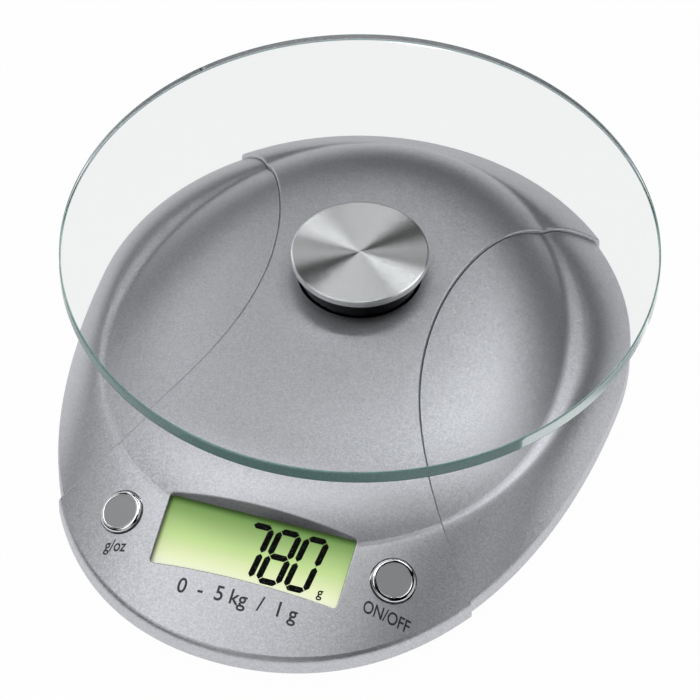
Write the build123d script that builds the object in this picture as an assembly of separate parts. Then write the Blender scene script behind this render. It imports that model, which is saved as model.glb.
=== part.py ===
from build123d import *
from math import cos, radians, sin, tan
import os

# Digital kitchen scale with a round glass plate on an egg-shaped housing.
# Millimetres and degrees. Pieces are drawn about the plate's upright axis,
# with the table at Z = 0 and the display towards -Y.

# Weighing plate
plate_d = 200.0
overall_h = 55.0
glass_t = 5.0
glass_arris = 0.7
disc_d = 46.2
disc_t = 2.7
disc_bevel = 0.5
spigot_d = 8.0
spigot_l = 6.0
spigot_fit = 0.05

# Hub and load carrier
hub_d = 41.0
hub_wall = 2.6
hub_floor = 3.0
hub_post_d = 14.0
hub_boss_d = 6.6
hub_boss_h = 9.0
hub_gap = 0.6
carrier_t = 4.0
carrier_pad_h = 1.6
carrier_pad_l = 24.0
carrier_arm_w = 19.0
carrier_rib_t = 2.0
carrier_rib_h = 6.0
carrier_rib_gap = 1.2
carrier_ease = 0.5

# Housing outline, rising from the rim to the crown round the hub
half_width = 92.8
front_reach = 144.8
back_reach = 92.2
crease_half_width = 77.5
crease_front = 108.0
crease_back = 73.5
crease_widest = -28.0
crown_h = 40.3
crown_flat = 0.5
crease_h = 26.5
wall_top = 10.5
rim_bottom = 4.5
dome_side_power = 2.6
dome_front_power = 5.0
dome_back_power = 4.0
side_power = 2.2
front_power = 1.0
back_power = 1.0
round_fullness = 0.5523
nose_fullness = 0.62
crease_fullness = 0.57
crease_round = 7.0
lip_round = 2.5
dome_rings = 6
skirt_rings = 6
skirt_spacing = 1.4
skirt_ease = 0.4

# Centre band and its seams with the side covers
waist_half = 30.2
waist_y = -10.0
seam_back_r = 100.0
seam_front_r = 119.0
seam_back_sweep = 70.0
seam_front_sweep = 65.0
part_gap = 0.25
band_proud = 1.4
band_rise = 0.9
band_edge_r = 0.7
wall = 2.2

# Display window and the stack behind it
window_w = 63.8
window_d = 22.2
window_front = -121.6
window_corner_r = 1.2
window_edge_r = 0.4
window_lip = 1.0
collar_wall = 1.8
lens_tilt = 23.5
lens_t = 1.2
lens_margin = 1.2
lens_gap = 0.5
lcd_margin = 1.4
lcd_glass_t = 1.1
lcd_ledge = 4.0
backlight_t = 4.9
frame_wall = 1.5
frame_fit = 0.15
stack_clear = 0.4
strip_w = 2.2
strip_short = 3.0

# Main board, its screws and switches
board_w = 118.0
board_t = 1.6
board_back_margin = 9.0
board_front_margin = 0.2
board_boss_d = 6.0
board_boss_gap = 0.8
board_boss_inset = 3.4
chip_d = 14.0
chip_h = 1.8
key_body = 5.2
key_body_h = 1.6
key_well = 0.9
key_plunger_d = 2.4
key_plunger_gap = 0.3
key_plunger_seat = 0.5
key_touch = 0.1

# Buttons
button_x = 46.7
button_y = -107.0
button_d = 14.6
button_gap = 0.45
button_proud = 1.3
button_round = 1.0
button_insert_d = 11.4
button_dish = 0.25
button_wall = 1.6
button_flange = 1.0
button_flange_t = 0.8
button_flange_gap = 0.2
button_stem_d = 2.4

# Bottom tray and feet
ground_gap = 2.5
floor_t = 2.0
tray_fit = 0.25
tray_rim_t = 1.8
tray_edge_r = 1.0
rim_gap = 0.3
foot_d = 14.0
foot_recess = 0.8
foot_round = 0.6
foot_fit = 0.1
foot_places = {"front_left": (-44.0, -98.0), "front_right": (44.0, -98.0),
               "back_left": (-52.0, 50.0), "back_right": (52.0, 50.0)}

# Cover screws
centre_screws = ((-28.0, 75.0), (28.0, 75.0), (-26.0, -128.5), (26.0, -128.5))
side_screws = ((74.0, 22.0), (74.0, -40.0))
screw_d = 2.6
screw_head_d = 5.2
screw_head_h = 2.0
screw_bite = 5.0
screw_fit = 0.05
head_gap = 0.3
sleeve_d = 7.6
sleeve_h = 1.6
boss_d = 6.0

# Load cell
cell_l = 80.0
cell_w = 12.7
cell_h = 12.7
cell_bottom = 14.0
cell_eye_d = 10.0
cell_eye_pitch = 18.0
cell_slot = 5.0
cell_hole_end = 5.0
cell_hole_pitch = 15.0
beam_screw_d = 4.0
beam_screw_head_d = 7.0
beam_screw_head_h = 2.6
beam_screw_bite = 9.0
hub_screw_d = 3.0
hub_screw_head_d = 5.6
hub_screw_head_h = 1.8
hub_screw_bite = 7.0
hub_screw_x = 14.0
hub_screw_y = 6.0
seal_l = 34.0
seal_w = 9.0
seal_t = 0.5
pillar_side = 2.5
pillar_l = 25.0
stop_d = 4.0
stop_gap = 0.7
stop_boss_d = 9.0
stop_boss_drop = 4.0

# Batteries, their bay and its door
battery_d = 10.5
battery_l = 44.5
battery_nub_d = 3.8
battery_nub_l = 1.0
battery_round = 0.8
battery_pitch = 11.2
battery_ease = 0.3
bay_y = -64.0
bay_l = 54.0
bay_w = 24.4
bay_wall = 1.6
bay_roof = 1.6
contact_t = 0.4
contact_w = 8.0
contact_h = 8.0
contact_touch = 0.1
contact_tab = 4.0
contact_tab_w = 4.0
contact_slot_gap = 0.2
door_gap = 0.3
door_rib_h = 0.6
door_rib_w = 1.2
door_pin_d = 1.4
door_pin_l = 1.4
door_pin_gap = 0.05
door_pin_side = 0.2
door_grip_r = 0.5
door_grip_pitch = 2.4
door_grip_l = 16.0
door_grip_inset = 3.0

# Leads inside the housing
cell_lead_d = 2.4
cell_lead_setback = 13.0
cell_lead_out = 11.0
cell_lead_fall = 13.0
cell_lead_lift = 2.0
cell_lead_aside = 6.0
battery_lead_d = 1.4
battery_lead_out = 4.0
battery_lead_rise = 3.0
battery_lead_run = 8.0
battery_lead_pitch = 8.0
lead_bend = 0.45

# Places worked out from the sizes above
glass_bottom = overall_h - glass_t
disc_bottom = glass_bottom - disc_t
cell_top = cell_bottom + cell_h
carrier_bottom = cell_top + carrier_pad_h
hub_bottom = carrier_bottom + carrier_t
floor_top = ground_gap + floor_t
hub_hole_r = hub_d / 2 + hub_gap
crown_r = hub_hole_r + crown_flat
cover_inset = band_proud + wall
cover_drop = band_rise + wall
tray_inset = cover_inset + tray_fit
rim_top = wall_top - cover_drop - rim_gap
sleeve_top = floor_top + sleeve_h
lens_slope = radians(lens_tilt)
stack_h = lens_t + lens_gap + 2 * lcd_glass_t + backlight_t
battery_z = floor_top + door_rib_h + battery_ease + battery_d / 2
bay_top = battery_z + battery_d / 2 + battery_ease
door_axis_z = ground_gap + floor_t / 2
door_axis_y = bay_y + bay_w / 2 - door_gap - floor_t / 2
plate_shift = (front_reach - plate_d / 2) / 2
centred = (Align.CENTER, Align.CENTER, Align.MIN)
hanging = (Align.CENTER, Align.CENTER, Align.MAX)


def upright(d, bottom, top, x=0.0, y=0.0):
    """A cylinder between two heights."""
    return Pos(x, y, bottom) * Cylinder(d / 2, top - bottom, align=centred)


def block(w, l, bottom, top, x=0.0, y=0.0):
    """A box between two heights, centred on a point in plan."""
    return Pos(x, y, bottom) * Box(w, l, top - bottom, align=centred)


def screw(d, length, head_d, head_h):
    """A pan-head screw that points up, its head's seat at the origin."""
    shank = Cylinder(d / 2, length, align=centred)
    head = Cylinder(head_d / 2, head_h, align=hanging)
    return shank + head


def group(solids):
    """Separate solids kept together as one node."""
    return Compound(list(solids))


# Housing form

def egg(half, front, back, z, fullness, widest=0.0):
    """An egg outline at one height, from four curves that meet where it is widest and at its ends."""
    right = (half, widest, z)
    left = (-half, widest, z)
    nose = (0, -front, z)
    rear = (0, back, z)
    rear_x = half * round_fullness
    rear_y = widest + (back - widest) * round_fullness
    nose_x = half * fullness
    nose_y = widest - (front + widest) * fullness
    quarters = [
        Bezier(rear, (rear_x, back, z), (half, rear_y, z), right),
        Bezier(right, (half, nose_y, z), (nose_x, -front, z), nose),
        Bezier(nose, (-nose_x, -front, z), (-half, nose_y, z), left),
        Bezier(left, (-half, rear_y, z), (-rear_x, back, z), rear),
    ]
    return Wire(quarters)


def rim_egg(inset, z):
    """The outline at the upright rim, drawn in by an inset."""
    return egg(half_width - inset, front_reach - inset, back_reach - inset, z, nose_fullness)


def between(start, end, share):
    """A value part of the way from one size to another."""
    return start + (end - start) * share


def dome_ring(share, inset, drop):
    """A level outline of the inner dome, from the hub hole out to the crease."""
    spans = ((crease_half_width, dome_side_power),
             (crease_front, dome_front_power),
             (crease_back, dome_back_power))
    fall = share ** dome_side_power
    reach = [between(crown_r, out - inset, fall ** (1 / power)) for out, power in spans]
    z = between(crown_h, crease_h, fall) - drop
    return egg(*reach, z, between(round_fullness, crease_fullness, share), crease_widest * share)


def skirt_ring(share, inset, drop):
    """A level outline of the outer slope, from the crease down to the rim."""
    spans = ((crease_half_width, half_width, side_power),
             (crease_front, front_reach, front_power),
             (crease_back, back_reach, back_power))
    reach = [between(inner, outer, share ** (1 / power)) - inset for inner, outer, power in spans]
    z = between(crease_h, wall_top, share) - drop
    eased = share ** skirt_ease
    return egg(*reach, z, between(crease_fullness, nose_fullness, eased), crease_widest * (1 - eased))


def level_edges(solid, z):
    """The edges of a solid that lie flat at one height."""
    flat = 0.05
    return [e for e in solid.edges()
            if abs(e.center().Z - z) < flat and e.bounding_box().size.Z < flat]


def housing_form(inset, drop, bottom):
    """The housing as a full solid: dome, outer slope and upright rim."""
    dome = [dome_ring(k / dome_rings, inset, drop) for k in range(dome_rings + 1)]
    shares = [(k / skirt_rings) ** skirt_spacing for k in range(1, skirt_rings + 1)]
    skirt = [dome[-1]] + [skirt_ring(share, inset, drop) for share in shares]
    rim = [skirt[-1], rim_egg(inset, bottom)]
    form = Solid.make_loft(dome) + Solid.make_loft(skirt) + Solid.make_loft(rim, ruled=True)
    return fillet(level_edges(form, crease_h - drop), crease_round)


def rounded_form(inset, drop):
    """The outside of the covers, with the lip along the rim rounded."""
    form = housing_form(inset, drop, rim_bottom)
    return fillet(level_edges(form, wall_top - drop), lip_round)


def seam_arcs(grow):
    """The right seam's back and front arcs, moved outwards by an amount."""
    back = CenterArc((waist_half + seam_back_r, waist_y), seam_back_r - grow, 180, -seam_back_sweep)
    front = CenterArc((waist_half + seam_front_r, waist_y), seam_front_r - grow, 180, seam_front_sweep)
    return back, front


def band_prism(grow):
    """The space between the two seams, as tall as the scale."""
    back, front = seam_arcs(grow)
    far_back = (0, back_reach + plate_d)
    far_front = (0, -front_reach - plate_d)
    rear = Polyline(back @ 1, ((back @ 1).X, far_back[1]), far_back)
    nose = Polyline(front @ 1, ((front @ 1).X, far_front[1]), far_front)
    right = Curve() + [back, front, rear, nose]
    outline = right + mirror(right, about=Plane.YZ)
    return extrude(make_face(outline.edges()), overall_h, dir=(0, 0, 1))


def on_seam(edge):
    """Whether an edge runs along a seam of the centre band, above the rim's foot."""
    near = 0.02
    middle = edge @ 0.5
    centre_x = waist_half + (seam_back_r if middle.Y > waist_y else seam_front_r)
    radius = seam_back_r if middle.Y > waist_y else seam_front_r
    off = Vector(abs(middle.X) - centre_x, middle.Y - waist_y).length - radius
    return abs(off) < near and middle.Z > rim_bottom + near


def surface_at(form, x, y):
    """The point and the outward normal where an upright line leaves a form."""
    found = form.find_intersection_points(Axis((x, y, overall_h), (0, 0, -1)))
    point, normal = max(found, key=lambda hit: hit[0].Z)
    return point, normal if normal.Z > 0 else -normal


outer = rounded_form(0, 0)
wing_outer = rounded_form(band_proud, band_rise)
cavity = housing_form(cover_inset, cover_drop, 0)
lens_corner, _ = surface_at(outer, window_w / 2, window_front)
lens_plane = Plane((0, window_front, lens_corner.Z - window_lip), (1, 0, 0),
                   (0, -sin(lens_slope), cos(lens_slope)))
board_plane = lens_plane.offset(-stack_h)
window_l = window_d / cos(lens_slope)
lcd_w = window_w + 2 * lcd_margin
lcd_l = window_l + 2 * lcd_margin
frame_w = lcd_w + 2 * (frame_fit + frame_wall)
frame_l = lcd_l + 2 * (frame_fit + frame_wall)
board_boss_x = frame_w / 2 + board_boss_gap + board_boss_d / 2
board_y0 = -lcd_margin - frame_fit - frame_wall - board_front_margin
board_y1 = window_l + lcd_margin + frame_fit + frame_wall + board_back_margin
board_holes = [(side * board_boss_x, y) for side in (-1, 1)
               for y in (board_y0 + board_boss_inset + board_boss_d, board_y1 - board_boss_inset)]


def tilted_block(w, y0, y1, bottom, top, plane=board_plane):
    """A box that lies along the tilted display, between two heights over a plane."""
    return plane * Pos(0, (y0 + y1) / 2, bottom) * Box(w, y1 - y0, top - bottom, align=centred)


def button_plane(side):
    """A plane on the housing's surface at a button, facing out."""
    point, normal = surface_at(outer, side * button_x, button_y)
    return Plane(point, (1, 0, -normal.X / normal.Z), normal)


# Weighing platform

def make_glass_plate():
    plate = upright(plate_d, glass_bottom, overall_h)
    return chamfer(plate.edges().filter_by(GeomType.CIRCLE), glass_arris)


def make_plate_disc():
    disc = upright(disc_d, disc_bottom, glass_bottom)
    disc = chamfer(disc.edges().filter_by(GeomType.CIRCLE), disc_bevel)
    return disc + upright(spigot_d, disc_bottom - spigot_l, disc_bottom)


def hub_screw_places():
    return [(sx * hub_screw_x, sy * hub_screw_y) for sx in (-1, 1) for sy in (-1, 1)]


def make_platform_hub():
    inside = upright(hub_d - 2 * hub_wall, hub_bottom + hub_floor, disc_bottom)
    hub = upright(hub_d, hub_bottom, disc_bottom) - inside
    hub += upright(hub_post_d, hub_bottom, disc_bottom)
    hub -= upright(spigot_d + 2 * spigot_fit, disc_bottom - spigot_l - spigot_fit, disc_bottom)
    for x, y in hub_screw_places():
        hub += upright(hub_boss_d, hub_bottom, hub_bottom + hub_boss_h, x, y)
    for x, y in hub_screw_places():
        hub -= upright(hub_screw_d + 2 * screw_fit, hub_bottom, hub_bottom + hub_screw_bite, x, y)
    return hub


def cell_holes(end):
    """The two screw places at the front (-1) or the back (+1) end of the beam."""
    first = cell_l / 2 - cell_hole_end
    return [end * first, end * (first - cell_hole_pitch)]


def make_load_carrier():
    """Arm from the beam's free end to the hub, stiffened by two ribs beside the beam."""
    tip = -cell_l / 2
    carrier = upright(hub_d - 2 * carrier_ease, carrier_bottom, hub_bottom)
    carrier += block(carrier_arm_w, -tip, carrier_bottom, hub_bottom, 0, tip / 2)
    carrier += block(cell_w, carrier_pad_l, cell_top, carrier_bottom, 0, tip + carrier_pad_l / 2)
    rib_x = cell_w / 2 + carrier_rib_gap + carrier_rib_t / 2
    rib_l = cell_l / 2 + hub_screw_y
    for side in (-1, 1):
        carrier += block(carrier_rib_t, rib_l, carrier_bottom - carrier_rib_h, carrier_bottom,
                         side * rib_x, tip + rib_l / 2)
    for y in cell_holes(-1):
        carrier -= upright(beam_screw_d + 2 * screw_fit, cell_top, hub_bottom, 0, y)
        carrier -= upright(beam_screw_head_d + 2 * head_gap, hub_bottom - beam_screw_head_h,
                           hub_bottom, 0, y)
    for x, y in hub_screw_places():
        carrier -= upright(hub_screw_d + 2 * head_gap, carrier_bottom, hub_bottom, x, y)
    return carrier


def make_carrier_screws():
    length = hub_bottom - beam_screw_head_h - cell_top + beam_screw_bite
    one = Rot(180, 0, 0) * screw(beam_screw_d, length, beam_screw_head_d, beam_screw_head_h)
    return group(Pos(0, y, hub_bottom - beam_screw_head_h) * one for y in cell_holes(-1))


def make_hub_screws():
    one = screw(hub_screw_d, carrier_t + hub_screw_bite - screw_fit, hub_screw_head_d, hub_screw_head_h)
    return group(Pos(x, y, carrier_bottom) * one for x, y in hub_screw_places())


# Load cell and its fixing

def make_load_cell():
    """Bending beam with two round eyes joined by a slot, which set where it flexes."""
    cell = block(cell_w, cell_l, cell_bottom, cell_top)
    middle = (cell_bottom + cell_top) / 2
    across = Rot(0, 90, 0)
    for side in (-1, 1):
        cell -= Pos(0, side * cell_eye_pitch / 2, middle) * across * Cylinder(cell_eye_d / 2, cell_w)
    cell -= Pos(0, 0, middle) * Box(cell_w, cell_eye_pitch, cell_slot)
    for end in (-1, 1):
        for y in cell_holes(end):
            cell -= upright(beam_screw_d + 2 * screw_fit, cell_bottom, cell_top, 0, y)
    return cell


def make_gauge_seal():
    above = block(seal_w, seal_l, cell_top, cell_top + seal_t, 0, cell_eye_pitch / 4)
    below = block(seal_w, seal_l, cell_bottom - seal_t, cell_bottom, 0, -cell_eye_pitch / 4)
    return group(above_or_below & block(cell_w, seal_span(), 0, overall_h)
                 for above_or_below in (above, below))


def seal_span():
    """The beam's free length between the pillar and the carrier's pad."""
    return cell_l - 2 * max(carrier_pad_l, pillar_l) - 2 * carrier_ease


def make_beam_screws():
    one = screw(beam_screw_d, cell_bottom - beam_screw_head_h - ground_gap + beam_screw_bite,
                beam_screw_head_d, beam_screw_head_h)
    return group(Pos(0, y, ground_gap + beam_screw_head_h) * one for y in cell_holes(1))


def make_overload_stop():
    return upright(stop_d, floor_top, cell_bottom - stop_gap, 0, cell_holes(-1)[0])


# Covers

def screw_boss(x, y):
    """A boss that rises from the tray's sleeve into the cover."""
    return upright(boss_d, sleeve_top, crown_h, x, y)


def screw_pilot(x, y):
    return upright(screw_d + 2 * screw_fit, sleeve_top, sleeve_top + screw_bite, x, y)


def window_plan(grow):
    """The display opening in plan, widened by an amount."""
    shape = RectangleRounded(window_w + 2 * grow, window_d + 2 * grow, window_corner_r + grow)
    return extrude(Pos(0, window_front + window_d / 2, 0) * shape, overall_h, dir=(0, 0, 1))


def window_edges(shell):
    """The edges where the display opening meets the outside of a shell."""
    near = 0.05
    inside = window_plan(near) - window_plan(-near)
    lens_clear = lens_plane.offset(window_lip / 4)
    return [e for e in shell.edges()
            if inside.is_inside(e @ 0.5) and inside.is_inside(e @ 0.25)
            and lens_clear.to_local_coords(e @ 0.5).Z > 0 and (e % 0.5).Z ** 2 < 0.9]


def board_bosses():
    posts = [board_plane * Pos(x, y, 0) * Cylinder(board_boss_d / 2, overall_h, align=centred)
             for x, y in board_holes]
    return Part() + posts


def make_centre_cover():
    """Middle shell with the hub hole, the display window, two button holes and screw bosses."""
    body = outer & band_prism(0)
    body = fillet([e for e in body.edges() if on_seam(e)], band_edge_r)
    shell = body - cavity
    under_lens = tilted_block(plate_d, -plate_d, plate_d, -overall_h, 0, lens_plane)
    collar = window_plan(collar_wall) - under_lens
    posts = board_bosses() + [screw_boss(x, y) for x, y in centre_screws]
    shell += body & collar
    shell += body & (posts - under_lens_room())
    shell -= window_plan(0) - under_lens
    shell = fillet(window_edges(shell), window_edge_r)
    shell -= under_lens_room()
    shell -= upright(2 * hub_hole_r, 0, overall_h)
    for side in (-1, 1):
        shell -= button_well(side)
    for x, y in centre_screws:
        shell -= screw_pilot(x, y)
    for x, y in board_holes:
        shell -= board_plane * Pos(x, y, 0) * Cylinder(screw_d / 2 + screw_fit, screw_bite, align=centred)
    return shell


def under_lens_room():
    """Space cleared under the window for the lens, and below it for the display's frame."""
    spread = lens_margin + frame_fit
    lens_room = tilted_block(window_w + 2 * spread, -spread, window_l + spread, -lens_t - lens_gap, 0,
                             lens_plane)
    low = frame_l - window_l
    frame_room = tilted_block(frame_w + 2 * stack_clear, -low / 2 - stack_clear,
                              window_l + low / 2 + stack_clear, 0, stack_h - lens_t - lens_gap / 2)
    return lens_room + frame_room


def button_well(side):
    """Round hole for a button, wider inside the shell for its flange."""
    plane = button_plane(side)
    hole = plane * Cylinder(button_d / 2 + button_gap, overall_h)
    wide = button_d / 2 + button_flange + button_gap
    room = plane * Pos(0, 0, -button_wall) * Cylinder(wide, overall_h, align=hanging)
    return (hole + room) - tilted_block(plate_d, -plate_d, plate_d, -overall_h, 0)


def make_side_cover(side):
    """Side shell outside the seam, with two screw bosses."""
    half = block(plate_d, 2 * plate_d, 0, overall_h, side * plate_d / 2, 0)
    shell_space = half - band_prism(part_gap)
    body = wing_outer & shell_space
    shell = body - cavity
    for x, y in side_screws:
        shell += body & screw_boss(side * x, y)
    for x, y in side_screws:
        shell -= screw_pilot(side * x, y)
    return shell


# Display and board

def make_display_lens():
    return tilted_block(window_w + 2 * lens_margin, -lens_margin, window_l + lens_margin, -lens_t, 0,
                        lens_plane)


def make_lcd_panel():
    """Two bonded glass plates, the upper one longer so that its contacts show below."""
    y0 = -lcd_margin
    y1 = window_l + lcd_margin
    top = -lens_t - lens_gap
    upper = tilted_block(lcd_w, y0, y1, top - lcd_glass_t, top, lens_plane)
    lower = tilted_block(lcd_w, y0, y1 - lcd_ledge, top - 2 * lcd_glass_t, top - lcd_glass_t, lens_plane)
    return upper + lower


def make_backlight():
    light = tilted_block(lcd_w, -lcd_margin, window_l + lcd_margin - lcd_ledge, 0, backlight_t)
    return light


def make_contact_strip():
    middle = window_l + lcd_margin - lcd_ledge / 2
    return tilted_block(lcd_w - 2 * strip_short, middle - strip_w / 2, middle + strip_w / 2,
                        0, backlight_t + lcd_glass_t)


def make_lcd_frame():
    rise = backlight_t + 2 * lcd_glass_t
    out = frame_fit + frame_wall + lcd_margin
    inn = frame_fit + lcd_margin
    frame = tilted_block(frame_w, -out, window_l + out, 0, rise)
    return frame - tilted_block(lcd_w + 2 * frame_fit, -inn, window_l + inn, 0, rise)


def make_main_board():
    """Board cut to the housing's outline, hung under the display."""
    board = tilted_block(board_w, board_y0, board_y1, -board_t, 0)
    trim = housing_form(tray_inset + tray_rim_t + stack_clear, cover_drop + stack_clear, 0)
    board = board & trim
    for x, y in centre_screws:
        board -= upright(boss_d + 2 * stack_clear, 0, overall_h, x, y)
    for x, y in board_holes:
        board -= board_plane * Pos(x, y, 0) * Cylinder(screw_d / 2 + head_gap, 4 * board_t)
    return board


def make_board_screws():
    one = screw(screw_d, board_t + screw_bite - screw_fit, screw_head_d, screw_head_h)
    return group(board_plane * Pos(x, y, -board_t) * one for x, y in board_holes)


def make_controller_chip():
    """Low dome of resin over the chip, under the board."""
    y = (board_y0 + board_y1) / 2
    radius = ((chip_d / 2) ** 2 + chip_h ** 2) / (2 * chip_h)
    dome = Pos(0, 0, radius - chip_h) * Sphere(radius)
    dome &= Box(chip_d, chip_d, chip_h, align=hanging)
    return board_plane * Pos(0, y, -board_t) * dome


def key_place(side):
    """Where a button's round stem meets its switch, in the board's own coordinates."""
    depth = button_wall + button_flange_gap + button_flange_t
    stem = board_plane.to_local_coords(button_plane(side).from_local_coords((0, 0, -depth)))
    return stem - Vector(0, 0, button_stem_d / 2 + key_touch)


def make_key_switch(side):
    spot = key_place(side)
    body = Box(key_body, key_body, key_body_h, align=centred)
    well = Pos(0, 0, key_body_h - key_well) * Cylinder(key_plunger_d / 2 + key_plunger_gap, key_well,
                                                      align=centred)
    return board_plane * Pos(spot.X, spot.Y, 0) * (body - well)


def make_key_plunger(side):
    spot = key_place(side)
    low = key_body_h - key_plunger_seat
    plunger = Pos(0, 0, low) * Cylinder(key_plunger_d / 2, spot.Z - low, align=centred)
    return board_plane * Pos(spot.X, spot.Y, 0) * plunger


def make_button(side):
    """Cap with a flat top inside a rounded rim, a flange inside the shell and a round stem."""
    flange_top = -button_wall - button_flange_gap
    flange_bottom = flange_top - button_flange_t
    cap = Pos(0, 0, flange_bottom) * Cylinder(button_d / 2, button_proud - flange_bottom, align=centred)
    cap = fillet(cap.edges().filter_by(GeomType.CIRCLE).sort_by(Axis.Z)[-1], button_round)
    cap -= Pos(0, 0, button_proud) * Cylinder(button_insert_d / 2, 2 * button_dish)
    flange = Pos(0, 0, flange_bottom) * Cylinder(button_d / 2 + button_flange, button_flange_t,
                                                 align=centred)
    stem = Pos(0, 0, flange_bottom) * Sphere(button_stem_d / 2)
    return button_plane(side) * (cap + flange + stem)


# Tray, feet and screws

def all_screws():
    return list(centre_screws) + [(side * x, y) for side in (-1, 1) for x, y in side_screws]


def make_base_tray():
    """Bottom shell with a rounded edge, a rim, screw sleeves, the beam's pillar and the battery bay."""
    plan = Face(rim_egg(tray_inset, 0))
    inner = Face(rim_egg(tray_inset + tray_rim_t, 0))
    tray = Pos(0, 0, ground_gap) * extrude(plan, rim_top - ground_gap, dir=(0, 0, 1))
    tray = fillet(level_edges(tray, ground_gap), tray_edge_r)
    tray -= Pos(0, 0, floor_top) * extrude(inner, overall_h, dir=(0, 0, 1))
    for x, y in all_screws():
        tray += upright(sleeve_d, ground_gap, sleeve_top, x, y)
    tray += beam_pillar()
    tray += upright(stop_boss_d, floor_top, cell_bottom - stop_boss_drop, 0, cell_holes(-1)[0])
    tray -= upright(stop_d + 2 * screw_fit, floor_top, cell_bottom, 0, cell_holes(-1)[0])
    tray += block(bay_l + 2 * bay_wall, bay_w + 2 * bay_wall, floor_top, bay_top + bay_roof, 0, bay_y)
    tray -= block(bay_l, bay_w, 0, bay_top, 0, bay_y)
    tray -= contact_slots()
    tray -= door_sockets()
    for x, y in all_screws():
        tray -= upright(screw_d + 2 * head_gap, 0, sleeve_top, x, y)
        tray -= upright(screw_head_d + 2 * head_gap, 0, ground_gap + screw_head_h, x, y)
    for y in cell_holes(1):
        tray -= upright(beam_screw_d + 2 * screw_fit, 0, cell_bottom, 0, y)
        tray -= upright(beam_screw_head_d + 2 * head_gap, 0, ground_gap + beam_screw_head_h, 0, y)
    for x, y in foot_places.values():
        tray -= upright(foot_d + 2 * foot_fit, 0, ground_gap + foot_recess, x, y)
    return tray


def beam_pillar():
    """Pillar under the beam's fixed end, with a rib to each side."""
    y = cell_l / 2 - pillar_l / 2
    pillar = block(cell_w + 2 * pillar_side, pillar_l, floor_top, cell_bottom, 0, y)
    rib = block(2 * hub_d, 2 * pillar_side, floor_top, cell_bottom - stop_boss_drop, 0, y)
    return pillar + rib


def make_cover_screws():
    one = screw(screw_d, sleeve_top - ground_gap - screw_head_h + screw_bite - screw_fit,
                screw_head_d, screw_head_h)
    return group(Pos(x, y, ground_gap + screw_head_h) * one for x, y in all_screws())


def make_foot(x, y):
    foot = upright(foot_d, 0, ground_gap + foot_recess, x, y)
    return fillet(foot.edges().filter_by(GeomType.CIRCLE).sort_by(Axis.Z)[0], foot_round)


# Batteries and door

def battery_y(row):
    """The middle of the front (-1) or the back (+1) battery."""
    return bay_y + row * battery_pitch / 2


def make_battery(row):
    """Round cell along X, its positive end to the right in front and to the left behind."""
    can_l = battery_l - battery_nub_l
    can = Cylinder(battery_d / 2, can_l)
    can = fillet(can.edges().filter_by(GeomType.CIRCLE), battery_round)
    can += Pos(0, 0, can_l / 2) * Cylinder(battery_nub_d / 2, battery_nub_l, align=centred)
    centred_can = Pos(0, 0, -battery_nub_l / 2) * can
    return Pos(0, battery_y(row), battery_z) * Rot(0, -90 * row, 0) * centred_can


def contact_leaf(end, row):
    """Bent spring leaf that reaches from the bay's end wall to a battery."""
    reach = (bay_l - battery_l) / 2 - contact_touch - contact_t
    path = Polyline((-contact_t / 2, -contact_h / 2), (-reach, 0), (-2 * contact_t, contact_h / 2))
    leaf = extrude(Plane.XZ * trace(path, contact_t), contact_w / 2, both=True)
    leaf += Pos(-contact_t / 2, 0, 0) * Box(contact_t, contact_w, contact_h + 2 * contact_t)
    turned = Rot(0, 0, 0 if end > 0 else 180) * leaf
    return Pos(end * bay_l / 2, battery_y(row), battery_z) * turned


def contact_tab_block(row, grow):
    """The soldering tab of a right-hand contact, which passes up through the bay's roof."""
    top = bay_top + bay_roof + contact_tab
    return block(contact_t + 2 * grow, contact_tab_w + 2 * grow, battery_z, top,
                 bay_l / 2 - contact_t / 2, battery_y(row))


def make_contact(row):
    return contact_leaf(1, row) + contact_tab_block(row, 0)


def make_contact_bridge():
    """Left-hand contact that joins the two batteries in series."""
    bar = block(contact_t, battery_pitch, battery_z - contact_h / 2, battery_z + contact_h / 2,
                -bay_l / 2 + contact_t / 2, bay_y)
    return contact_leaf(-1, -1) + contact_leaf(-1, 1) + bar


def contact_slots():
    roof = block(bay_l + 2 * bay_wall, bay_w, bay_top, overall_h, 0, bay_y)
    slots = contact_tab_block(-1, contact_slot_gap) + contact_tab_block(1, contact_slot_gap)
    return slots & roof


def door_pin(d, length):
    """The door's two hinge pins, as one bar through the door."""
    return Pos(0, door_axis_y, door_axis_z) * Rot(0, 90, 0) * Cylinder(d / 2, length)


def door_sockets():
    return door_pin(door_pin_d + 2 * door_pin_gap, bay_l + 2 * (door_pin_l + door_pin_side))


def make_battery_door():
    """Lid flush with the tray's underside, round along its hinge edge, with a finger grip."""
    w = bay_l - 2 * door_gap
    front = bay_y - bay_w / 2 + door_gap
    door = block(w, door_axis_y - front, ground_gap, floor_top, 0, (door_axis_y + front) / 2)
    door += door_pin(floor_t, w)
    door += door_pin(door_pin_d, bay_l + 2 * door_pin_l)
    for row in (-1, 1):
        door += block(w - 4 * floor_t, door_rib_w, floor_top, floor_top + door_rib_h, 0, battery_y(row))
    for k in range(3):
        y = front + door_grip_inset + k * door_grip_pitch
        door -= Pos(0, y, ground_gap) * Rot(0, 90, 0) * Cylinder(door_grip_r, door_grip_l)
    return door


# Leads

def lead(d, points):
    """A round lead along straight runs, with each corner as round as its runs allow."""
    stops = [Vector(*p) for p in points]
    radii = []
    for before, at, after in zip(stops, stops[1:], stops[2:]):
        turn = radians((at - before).get_angle(after - at))
        run = min((at - before).length, (after - at).length)
        radii.append(lead_bend * run / tan(turn / 2))
    path = FilletPolyline(*stops, radius=radii)
    start = Plane(path @ 0, z_dir=path % 0)
    return sweep(start * Circle(d / 2), path)


def board_point(x, y, z):
    """A point over the board, in the housing's coordinates."""
    return tuple(board_plane.from_local_coords((x, y, z)))


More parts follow.
